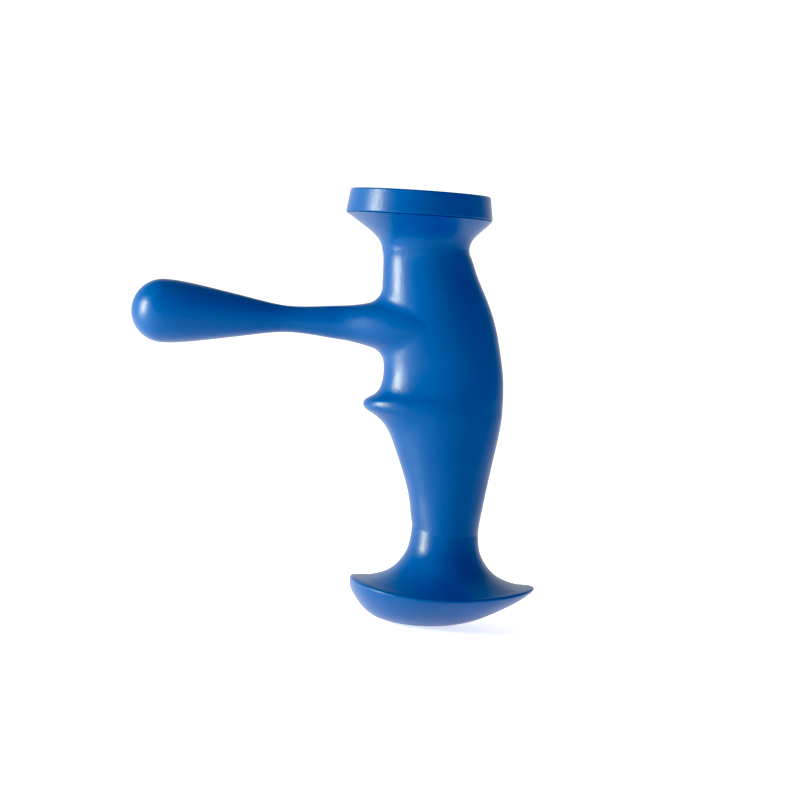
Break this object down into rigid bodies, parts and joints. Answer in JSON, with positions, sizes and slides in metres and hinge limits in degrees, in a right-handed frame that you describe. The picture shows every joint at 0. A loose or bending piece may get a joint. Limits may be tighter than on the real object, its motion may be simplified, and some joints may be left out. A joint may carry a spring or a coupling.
{
  "type": "hand grip massage tool",
  "caption": "Rigid plastic trigger-point massage tool for one hand, with a flat disc head, a bulb-ended side arm, a finger ledge and a domed foot.",
  "frame": {"origin": "centre of the head's flat pressing face", "axes": "+Z out of the flat head face, with the domed foot below; -X along the bulb-ended arm; -Y towards the front shell"},
  "size_m": [0.1209, 0.0492, 0.1239],
  "materials": {
    "shell": "satin moulded blue plastic",
    "cap": "satin moulded blue plastic",
    "core": "drawn steel rod"
  },
  "bodies": {
    "root": {"front_shell": "shell", "rear_shell": "shell", "head_cap": "cap", "foot_cap": "cap", "arm_core": "core"}
  },
  "joints": []
}
